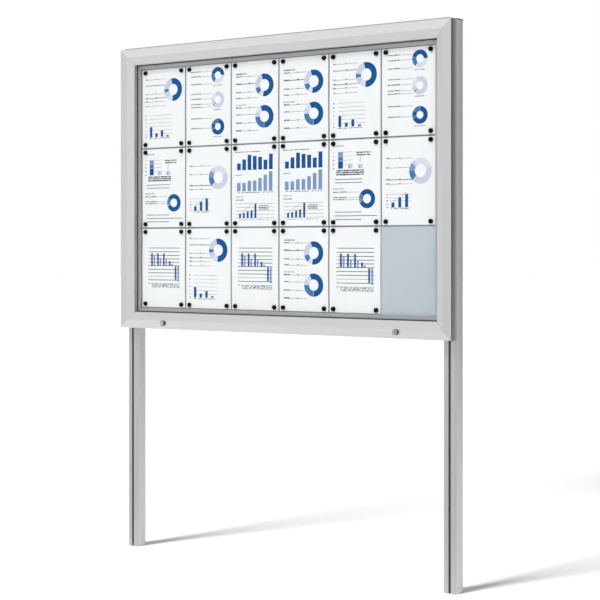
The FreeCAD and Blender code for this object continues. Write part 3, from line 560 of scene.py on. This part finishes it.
oneRingLines = [157, 173, 187, 203, 235, 258]
oneRingGrid = [52, 66, 80, 94, 108, 122]
oneRingParts = [(0, "mid"), (15, "pale"), (52, "mist"), (84, "deep"), (285, "pale"), (352, "mid")]
threeRingLines = [62, 98, 141, 151, 171, 190, 226, 254, 272]
twoRingLines = [45, 73, 103, 128, 163, 184, 215, 241]
stackedGrid = [212, 226, 240, 254]
largeRingLines = [138, 153, 193, 225]
largeRingGrid = [60, 71, 82, 93, 104]
gridBelow = [89, 103, 116, 129, 142]
gridAbove = [169, 182, 195, 209, 223]
printPlans = {
    "one_ring": [
        (inkLines, {"ink": "line", "left": 16, "right": 118, "heights": oneRingLines}),
        (inkWords, {"left": 15, "right": 27, "heights": above(oneRingLines)}),
        (inkWords, {"left": 66, "right": 74, "heights": above(oneRingLines)}),
        (inkRing, {"centre": (152, 216), "outer": 43, "inner": 21, "parts": oneRingParts}),
        (inkLines, {"ink": "grid", "left": 36, "right": 148, "heights": oneRingGrid, "thickness": 0.9}),
        (inkBars, {"left": 37, "base": 40, "pitch": 27, "width": 12, "heights": [39, 15, 25, 6]}),
        (inkWords, {"left": 15, "right": 21, "heights": [40] + oneRingGrid, "gap": 0.1}),
        (inkWords, {"left": 32, "right": 136, "heights": [35], "gap": 0.4}),
    ],
    "three_rings": [
        (inkLines, {"ink": "line", "left": 24, "right": 122, "heights": threeRingLines}),
        (inkWords, {"left": 23, "right": 72, "heights": above(threeRingLines)}),
        (inkRing, {"centre": (150, 256), "outer": 30, "inner": 14,
                   "parts": [(0, "mid"), (55, "mist"), (150, "mist"), (178, "deep"), (345, "mid")]}),
        (inkRing, {"centre": (150, 166), "outer": 30, "inner": 14,
                   "parts": [(0, "pale"), (38, "word"), (48, "pale"), (170, "pale"), (300, "mist")]}),
        (inkRing, {"centre": (150, 67), "outer": 30, "inner": 13,
                   "parts": [(0, "mid"), (20, "deep"), (270, "mid"), (325, "deep")]}),
        (inkWords, {"left": 128, "right": 172, "heights": [30, 129, 219], "thickness": 2.2}),
    ],
    "two_rings": [
        (inkLines, {"ink": "word", "left": 20, "right": 122, "heights": twoRingLines}),
        (inkWords, {"left": 19, "right": 44, "heights": above(twoRingLines), "thickness": 3.4, "gap": 0.15}),
        (inkWords, {"left": 76, "right": 84, "heights": above(twoRingLines)}),
        (inkWords, {"left": 19, "right": 66, "heights": [139, 252], "thickness": 2.6, "gap": 0.1}),
        (inkRing, {"centre": (148, 207), "outer": 41, "inner": 21,
                   "parts": [(0, "pale"), (12, "mid"), (52, "mist"), (80, "deep"), (290, "pale")]}),
        (inkRing, {"centre": (148, 94), "outer": 41, "inner": 20,
                   "parts": [(0, "mid"), (88, "deep"), (298, "mist"), (330, "pale")]}),
    ],
    "stacked_bar": [
        (inkWords, {"left": 14, "right": 60, "heights": [127, 276], "thickness": 2.6, "gap": 0.1}),
        (inkLines, {"ink": "grid", "left": 34, "right": 96, "heights": stackedGrid, "thickness": 1.2}),
        (inkBox, {"left": 36, "low": 198, "right": 56, "high": 224, "ink": "deep"}),
        (inkBox, {"left": 36, "low": 225, "right": 56, "high": 239, "ink": "mid"}),
        (inkBox, {"left": 36, "low": 240, "right": 56, "high": 255, "ink": "steel"}),
        (inkBars, {"left": 76, "base": 198, "pitch": 42, "width": 20, "heights": [17, 14], "ink": "pale"}),
        (inkBars, {"left": 80, "base": 198, "pitch": 42, "width": 5, "heights": [11, 9], "ink": "steel"}),
        (inkWords, {"left": 112, "right": 168, "heights": [243, 251], "thickness": 4.6, "gap": 0.15}),
        (inkBox, {"left": 126, "low": 218, "right": 127.6, "high": 238, "ink": "word"}),
        (inkWords, {"left": 14, "right": 20, "heights": [198] + stackedGrid, "gap": 0.1}),
        (inkWords, {"left": 28, "right": 142, "heights": [176, 183, 190], "thickness": 4.4, "gap": 0.15}),
        (inkLines, {"ink": "word", "left": 22, "right": 135, "heights": [148, 160], "thickness": 2.4}),
        (inkLines, {"ink": "line", "left": 15, "right": 122, "heights": [89, 96, 115]}),
        (inkWords, {"left": 15, "right": 70, "heights": [90.6, 98, 116.6]}),
        (inkRing, {"centre": (155, 92), "outer": 33, "inner": 16,
                   "parts": [(0, "steel"), (22, "deep"), (330, "mid")]}),
        (inkLines, {"ink": "word", "left": 22, "right": 132, "heights": [20, 46], "thickness": 2.4}),
        (inkLines, {"ink": "word", "left": 22, "right": 196, "heights": [33], "thickness": 2.4}),
    ],
    "large_ring": [
        (inkLines, {"ink": "word", "left": 18, "right": 124, "heights": largeRingLines}),
        (inkWords, {"left": 17, "right": 32, "heights": above(largeRingLines)}),
        (inkWords, {"left": 68, "right": 75, "heights": above(largeRingLines)}),
        (inkRing, {"centre": (152, 182), "outer": 44, "inner": 22,
                   "parts": [(0, "mid"), (46, "pale"), (200, "mist"), (300, "pale"), (322, "steel")]}),
        (inkLines, {"ink": "grid", "left": 30, "right": 116, "heights": largeRingGrid, "thickness": 0.9}),
        (inkBars, {"left": 38, "base": 60, "pitch": 27, "width": 12, "heights": [17, 33, 45]}),
        (inkSlope, {"left": 44, "low": 80, "right": 99, "high": 112}),
        (inkWords, {"left": 18, "right": 25, "heights": largeRingGrid, "gap": 0.1}),
        (inkWords, {"left": 36, "right": 108, "heights": [55], "gap": 0.4}),
    ],
    "bar_rows": [
        (inkWords, {"left": 16, "right": 128, "heights": [270], "thickness": 2.6, "gap": 0.1}),
        (inkBars, {"left": 24, "base": 205, "pitch": 24, "width": 17,
                   "heights": [25, 39, 55, 50, 46, 35, 56]}),
        (inkWords, {"left": 16, "right": 50, "heights": [187]}),
        (inkBars, {"left": 24, "base": 128, "pitch": 24, "width": 16, "ink": "steel",
                   "heights": [31, 31, 38, 38, 47, 58, 70]}),
        (inkWords, {"left": 24, "right": 186, "heights": [123], "gap": 0.5}),
        (inkWords, {"left": 16, "right": 54, "heights": [96, 107]}),
        (inkLines, {"ink": "line", "left": 18, "right": 190, "heights": [30, 43, 56, 69, 82],
                    "thickness": 1.2}),
        (inkBars, {"left": 33, "base": 30, "pitch": 17.5, "width": 9, "heights": [17, 20, 25, 29, 52]}),
        (inkSlope, {"left": 36, "low": 46, "right": 92, "high": 80}),
        (inkWords, {"left": 122, "right": 166, "heights": [62, 68, 74], "thickness": 2.6, "gap": 0.2}),
        (inkWords, {"left": 30, "right": 170, "heights": [24], "gap": 0.5}),
    ],
    "grid_bars": [
        (inkLines, {"ink": "word", "left": 36, "right": 184, "heights": gridBelow + gridAbove,
                    "thickness": 2.2}),
        (inkBars, {"left": 44, "base": 157, "pitch": 29, "width": 8, "heights": [48, 47, 47, 18]}),
        (inkBars, {"left": 56, "base": 157, "pitch": 29, "width": 7, "heights": [37, 29, 24, 8],
                   "ink": "steel"}),
        (inkBars, {"left": 160, "base": 155, "pitch": 13, "width": 8, "heights": [50, 1], "down": True}),
        (inkBars, {"left": 160, "base": 155, "pitch": 12.5, "width": 8, "heights": [0.5, 57],
                   "ink": "steel", "down": True}),
        (inkLines, {"ink": "word", "left": 34, "right": 184, "heights": [156], "thickness": 2.4}),
        (inkWords, {"left": 30, "right": 35, "heights": gridBelow + [156] + gridAbove, "gap": 0.1}),
        (inkWords, {"left": 46, "right": 182, "heights": [76, 81, 86], "thickness": 3.4, "gap": 0.5}),
    ],
}
paperFinish = {
    "dark": linear(242, 242, 244), "light": linear(249, 249, 250), "pulp": (600, 4, 0.6), "edgeShade": 0.6,
    "roughness": 0.42, "spread": 0.10, "specular": 0.15, "bump": (0.06, 0.0002),
}


def printedPaper(name, plan, drawing):
    finish = Finish(name)
    u, v = sheetSpot(finish)
    pulp = finish.noise(*plan["pulp"])
    colour = finish.shade(pulp, plan["dark"], plan["light"])
    for draw, settings in drawing:
        colour = draw(finish, colour, u, v, **settings)
    # painted shade along the cut edge
    inner = between(u, paper["edge"], paper["width"] * perMetre - paper["edge"])
    inner = inner * between(v, paper["edge"], paper["height"] * perMetre - paper["edge"])
    colour = finish.blend((1 - inner) * plan["edgeShade"], colour, rgba(inks["line"]))
    return finish.surface(colour=colour, roughness=pulp * plan["spread"] + plan["roughness"],
                          specular=plan["specular"], normal=finish.bump(pulp, *plan["bump"]))


# sheets of paper

curl = {
    "seed": 7, "least": 0.0003, "most": 0.0014,
    "reach": 0.075, "sideReach": 0.115,     # how far a lift spreads from the middle of an edge
    "grip": 0.008,                          # radius in which the lifted vertex is looked for
    "smooth": 30,
}
sheetPlaces = {
    "one_ring": [(0, 0), (4, 0), (1, 2)],
    "three_rings": [(1, 0), (5, 0)],
    "two_rings": [(2, 0), (3, 0), (3, 2)],
    "stacked_bar": [(0, 1), (4, 1)],
    "large_ring": [(1, 1), (5, 1)],
    "bar_rows": [(2, 1), (3, 1)],
    "grid_bars": [(0, 2), (2, 2), (4, 2)],
}


def sheetCentre(column, row):
    across = (column - (paper["columns"] - 1) / 2) * stepAcross
    up = ((paper["rows"] - 1) / 2 - row) * stepUp
    return across, board["middle"] + up


def pickVertices(piece, spot):
    bpy.ops.object.mode_set(mode="EDIT")
    bpy.ops.mesh.select_all(action="DESELECT")
    bpy.ops.object.mode_set(mode="OBJECT")
    for vertex in piece.data.vertices:
        vertex.select = math.dist(vertex.co, spot) < curl["grip"]
    bpy.ops.object.mode_set(mode="EDIT")


def oneSheet(column, row, chance):
    # paper lifts a little between its magnets, at the middle of its top, its foot and both its sides
    across, up = sheetCentre(column, row)
    depth = board["front"] + board["sheetDepth"]
    bpy.ops.mesh.primitive_grid_add(x_subdivisions=paper["faces"][0], y_subdivisions=paper["faces"][1],
                                    size=1, location=(across, depth, up), rotation=(math.pi / 2, 0, 0))
    piece = bpy.context.object
    piece.scale = (paper["width"], paper["height"], 1)
    bpy.ops.object.transform_apply(location=True, rotation=True, scale=True)
    edges = [(0, 1, curl["reach"]), (0, -1, curl["reach"]),
             (1, 0, curl["sideReach"]), (-1, 0, curl["sideReach"])]
    for sideways, upward, reach in edges:
        lift = chance.uniform(curl["least"], curl["most"])
        spot = (across + sideways * paper["width"] / 2, depth, up + upward * paper["height"] / 2)
        pickVertices(piece, spot)
        bpy.ops.transform.translate(value=(0, -lift, 0), use_proportional_edit=True,
                                    proportional_edit_falloff="SMOOTH", proportional_size=reach)
        bpy.ops.object.mode_set(mode="OBJECT")
    solid = piece.modifiers.new("gauge", "SOLIDIFY")
    solid.thickness = paper["gauge"]
    solid.offset = -1
    bpy.ops.object.modifier_apply(modifier=solid.name)
    return piece


def makeSheets():
    chance = random.Random(curl["seed"])
    for kind, places in sheetPlaces.items():
        members = [oneSheet(column, row, chance) for column, row in places]
        bpy.ops.object.select_all(action="DESELECT")
        for member in members:
            member.select_set(True)
        bpy.context.view_layer.objects.active = members[0]
        bpy.ops.object.join()
        piece = bpy.context.object
        bpy.context.scene.cursor.location = (0, 0, 0)
        bpy.ops.object.origin_set(type="ORIGIN_CURSOR")
        bpy.ops.object.shade_smooth_by_angle(angle=math.radians(curl["smooth"]))
        piece.name = "paper_" + kind
        piece.data.materials.clear()
        piece.data.materials.append(printedPaper("print " + kind, paperFinish, printPlans[kind]))
        bpy.ops.object.select_all(action="DESELECT")
        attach(piece, "stand")
        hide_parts("sheets_" + kind)
        print("sheets printed:", kind, len(places))


# lock heads

locksLow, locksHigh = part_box("lock_housings")
lockRadius = 0.010
lockHead = {
    "across": locksHigh.x - lockRadius, "height": (locksLow.z + locksHigh.z) / 2, "radius": lockRadius,
    "proud": board["front"] - locksLow.y, "barrelBack": locksHigh.y - board["front"],
    "bore": 0.00605, "mouth": [(0, 0.0012), (0.0009, 0.0002), (0.0013, 0)],     # outward and back
    "rim": 0.0012, "rimSteps": 4, "collarProud": 0.0068, "collarWall": 0.0002,
    "barrel": 0.008, "groove": 0.00035, "grooves": 14, "steps": 64, "smooth": 35,
    "dot": 0.001, "weld": 0.00001,          # size of the first face, and reach of the closing merge
    "face": 0.008, "collarBack": 0.0001,    # the black collar, painted shade on the side of each head, is outside this radius, up to this depth
    "shutter": 0.0036, "shutterBack": -0.005,   # and the dark shutter inside this one
}
nickelFinish = {
    "dark": (0.76, 0.765, 0.77), "light": (0.90, 0.905, 0.91), "touch": (330, 4), "rings": 21000,
    "roughness": 0.12, "spread": 0.16, "bump": (0.10, 0.0002),
    "collar": (0.008, 0.008, 0.009), "shutter": (0.012, 0.012, 0.013),
}


def turnedNickel(name, plan, darkPart=None):
    # bright plate on turned brass, with fine rings round each lock's axis; the dark part is the collar round
    # a bright face, painted black as shade on the side of the head, or the dust shutter round a key slot
    finish = Finish(name)
    x, y, z = finish.axes()
    across = abs(x) - lockHead["across"]
    up = z - lockHead["height"]
    radius = (across * across + up * up).root()
    behind = y - board["front"]
    rings = (radius * plan["rings"]).wave() * 0.5 + 0.5
    touch = finish.noise(*plan["touch"])
    colour = finish.shade(touch, plan["dark"], plan["light"])
    metal = 1.0
    if darkPart:
        if darkPart == "collar":
            # painted shade: the collar round the face is black
            dark = (radius > lockHead["face"]) * (behind < lockHead["collarBack"])
        else:
            dark = (radius < lockHead["shutter"]) * (behind < lockHead["shutterBack"])
        colour = finish.blend(dark, colour, rgba(plan[darkPart]))
        metal = 1 - dark
    return finish.surface(colour=colour, roughness=touch * plan["spread"] + plan["roughness"], metallic=metal,
                          normal=finish.bump(rings, *plan["bump"]))


def lockProfile():
    # radius and depth behind the front of the door, once round the section of a housing
    plan = lockHead
    face = -plan["proud"]
    rim = plan["rim"]
    inside = plan["radius"] - plan["collarWall"]
    points = [(plan["bore"] + out, face + back) for out, back in plan["mouth"]]
    for index in range(plan["rimSteps"] + 1):
        angle = math.pi / 2 * index / plan["rimSteps"]
        points.append((inside - rim + rim * math.sin(angle), face + rim - rim * math.cos(angle)))
    points += [(inside, -plan["collarProud"]), (plan["radius"], plan["collarWall"] - plan["collarProud"]),
               (plan["radius"], 0), (plan["barrel"], 0)]
    pitch = plan["barrelBack"] / (plan["grooves"] + 1)
    for index in range(plan["grooves"]):
        depth = (index + 1) * pitch
        points += [(plan["barrel"], depth - pitch / 4), (plan["barrel"] - plan["groove"], depth),
                   (plan["barrel"], depth + pitch / 4)]
    points += [(plan["barrel"], plan["barrelBack"]), (plan["bore"], plan["barrelBack"])]
    return points


def spinHousing(across):
    # the section is drawn point by point, closed and spun round the lock's axis
    points = lockProfile()
    front = board["front"]
    height = lockHead["height"]
    bpy.ops.mesh.primitive_plane_add(size=lockHead["dot"],
                                     location=(across + points[0][0], front + points[0][1], height))
    bpy.ops.object.mode_set(mode="EDIT")
    bpy.ops.mesh.select_all(action="SELECT")
    bpy.ops.mesh.merge(type="CENTER")
    for before, after in zip(points, points[1:] + points[:1]):
        step = (after[0] - before[0], after[1] - before[1], 0)
        bpy.ops.mesh.extrude_region_move(TRANSFORM_OT_translate={"value": step})
    bpy.ops.mesh.select_all(action="SELECT")
    bpy.ops.mesh.spin(steps=lockHead["steps"], angle=2 * math.pi, center=(across, front, height),
                      axis=(0, 1, 0))
    bpy.ops.mesh.select_all(action="SELECT")
    bpy.ops.mesh.remove_doubles(threshold=lockHead["weld"])
    bpy.ops.mesh.normals_make_consistent(inside=False)
    bpy.ops.object.mode_set(mode="OBJECT")
    bpy.ops.object.transform_apply(location=True, rotation=True, scale=True)
    bpy.ops.object.shade_smooth_by_angle(angle=math.radians(lockHead["smooth"]))
    return bpy.context.object


def makeLockHeads():
    left = spinHousing(-lockHead["across"])
    right = spinHousing(lockHead["across"])
    left.select_set(True)
    bpy.ops.object.join()
    right.name = "lock_heads"
    right.data.materials.clear()
    right.data.materials.append(turnedNickel("lock faces", nickelFinish, "collar"))
    bpy.ops.object.select_all(action="DESELECT")
    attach(right, "door")
    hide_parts("lock_housings")
    print("lock heads turned")


# finishes on the metal, glass and rubber

def dress(material, *names):
    for name in names:
        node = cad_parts[name]
        node.data.materials.clear()
        node.data.materials.append(material)


def dressNodes():
    dress(anodised("door rails", "x", railProfile), "door_top_rail", "door_bottom_rail")
    dress(anodised("door stiles", "z", stileProfile), "door_left_stile", "door_right_stile")
    dress(anodised("case rails", "x", caseProfile), "case_top_rail", "case_bottom_rail")
    dress(anodised("case stiles", "z", caseProfile), "case_left_stile", "case_right_stile")
    dress(anodised("posts", "z", postProfile), "post_left", "post_right")
    dress(anodised("hinge", "x", hingeProfile), "case_hinge_leaf", "door_hinge_leaf", "case_hinge_rivets",
          "door_hinge_rivets")
    dress(millAluminium("cleats", cleatFinish), "case_corner_cleats", "door_corner_cleats")
    dress(coatedSteel("panel", panelFinish), "back_panel")
    dress(moulded("seal", sealFinish), "door_seal")
    dress(moulded("glazing tape", tapeFinish), "glazing_tape")
    dress(moulded("beads", beadFinish), "glazing_beads")
    dress(moulded("post caps", capFinish), "post_cap_left", "post_cap_right")
    dress(clearGlass("pane", paneFinish), "glass_pane")
    dress(zincPlate("zinc", boltZinc), "slot_bolts", "bolt_nuts", "bolt_washers", "lock_keepers",
          "strut_case_studs", "strut_door_studs", "hinge_pin")
    dress(zincPlate("cam zinc", camZinc), "lock_left_cam", "lock_right_cam", "lock_left_screw",
          "lock_right_screw")
    dress(turnedNickel("lock nuts", nickelFinish), "lock_housings", "lock_nuts")
    dress(turnedNickel("lock plugs", nickelFinish, "shutter"), "lock_left_plug", "lock_right_plug")
    dress(lacquer("strut tubes", tubeFinish), "strut_left_tube", "strut_right_tube")
    dress(polishedRod("strut rods", rodFinish), "strut_left_rod", "strut_right_rod")
    dress(magnetCap("magnet caps", magnetFinish), "magnets_top_row", "magnets_middle_row",
          "magnets_bottom_row")
    print("metal, glass and rubber finished")


# floor, light and camera

studio = {
    "floorSize": 80, "floorColour": (0.63, 0.63, 0.63),
    "ambient": 0.58, "sky": 1.0, "skyFade": 0.38,
    "sideFade": 1.7, "sideFadeMost": 0.20,
    "sideFrom": -0.57, "frontFrom": 0.4,    # the side fade lies further left and nearer than these directions
}
suns = {
    "key": {"strength": 1.3, "width": 15, "height": 54, "turn": 3, "onFloor": False},
    "rake": {"strength": 17.5, "width": 20, "height": 12, "turn": 17, "onFloor": True},
}
# cards that only mirrors see: a dark one upright behind to the right, a grey one flat on the floor in front,
# one upright in front to the right, which the right post mirrors, and one far off to the front left, which
# the lower right of the frame mirrors
cards = {
    "right card": {"colour": 0.20, "place": (2.9, 2.3, 1.75), "size": (5.0, 2.9), "tilt": 90, "turn": -35},
    "front card": {"colour": 0.66, "place": (-1.5, -2.3, 0.02), "size": (6.5, 4.2), "tilt": 0, "turn": 0},
    "side card": {"colour": 0.30, "place": (2.57, -1.0, 1.2), "size": (2.2, 2.4), "tilt": 90, "turn": 60},
    "far card": {"colour": 0.50, "place": (-3.8, -9.0, 1.0), "size": (4.0, 2.0), "tilt": 90, "turn": 0},
}
view = {
    "lens": 90.16, "sensor": 36, "shift": -0.09, "reach": 200,
    "place": (3.143, -4.3585, 1.151), "turn": 35.03,
}


def makeFloor():
    bpy.ops.mesh.primitive_plane_add(size=studio["floorSize"], location=(0, 0, 0))
    floor = bpy.context.object
    floor.name = "floor"
    finish = Finish("floor")
    body = finish.node("ShaderNodeBsdfDiffuse", sockets={"Color": rgba(studio["floorColour"])})
    floor.data.materials.append(finish.output(body))
    return floor


def makeWorld():
    # the sky is white to the eye, greyer in mirrors overhead and to the left, and softer as light
    world = bpy.data.worlds.new("studio")
    bpy.context.scene.world = world
    finish = Finish(world)
    path = finish.node("ShaderNodeLightPath")
    direct = finish.wire(path, "Is Camera Ray").most(finish.wire(path, "Is Transmission Ray"))
    mirrored = finish.wire(path, "Is Glossy Ray")
    x, y, z = finish.axes(finish.wire(finish.node("ShaderNodeTexCoord"), "Generated"))
    leftward = ((studio["sideFrom"] - x).most(0.0) * studio["sideFade"]).least(studio["sideFadeMost"])
    leftward = leftward * (studio["frontFrom"] - y).most(0.0).least(1.0)
    mirrorSky = studio["sky"] - z.most(0.0) * studio["skyFade"] - leftward
    indirect = mirrored * mirrorSky + (1 - mirrored) * studio["ambient"]
    strength = direct * studio["sky"] + (1 - direct) * indirect
    back = finish.node("ShaderNodeBackground", sockets={"Color": white, "Strength": strength})
    finish.output(back, "World")


def makeSun(name, plan, floor):
    # a far lamp in front of the board; one lights the object and a low one rakes over the floor
    lamp = bpy.data.lights.new(name, "SUN")
    lamp.energy = plan["strength"]
    lamp.angle = math.radians(plan["width"])
    sun = bpy.data.objects.new(name, lamp)
    bpy.context.scene.collection.objects.link(sun)
    sun.visible_glossy = False
    sun.rotation_euler = (math.radians(90 - plan["height"]), 0, math.radians(-plan["turn"]))
    receivers = bpy.data.collections.new(name + " receivers")
    receivers.objects.link(floor)
    receivers.collection_objects[0].light_linking.link_state = "INCLUDE" if plan["onFloor"] else "EXCLUDE"
    sun.light_linking.receiver_collection = receivers


def makeCard(name, plan):
    bpy.ops.mesh.primitive_plane_add(size=1, location=plan["place"],
                                     rotation=(math.radians(plan["tilt"]), 0, math.radians(plan["turn"])))
    card = bpy.context.object
    card.name = name
    card.scale = (plan["size"][0], plan["size"][1], 1)
    finish = Finish(name)
    glow = finish.node("ShaderNodeEmission", sockets={"Color": white, "Strength": plan["colour"]})
    card.data.materials.append(finish.output(glow))
    card.visible_camera = card.visible_diffuse = card.visible_shadow = False
    card.visible_transmission = card.visible_volume_scatter = False


def makeCamera():
    lens = bpy.data.cameras.new("camera")
    lens.lens = view["lens"]
    lens.sensor_width = view["sensor"]
    lens.shift_y = view["shift"]
    lens.clip_end = view["reach"]
    camera = bpy.data.objects.new("camera", lens)
    bpy.context.scene.collection.objects.link(camera)
    camera.location = view["place"]
    camera.rotation_euler = (math.pi / 2, 0, math.radians(view["turn"]))
    bpy.context.scene.camera = camera


bpy.context.scene.view_settings.view_transform = "Standard"
makeCamera()
makeWorld()
floor = makeFloor()
for name, plan in suns.items():
    makeSun(name, plan, floor)
for name, plan in cards.items():
    makeCard(name, plan)
print("studio ready")
dressNodes()
makeSheets()
makeLockHeads()
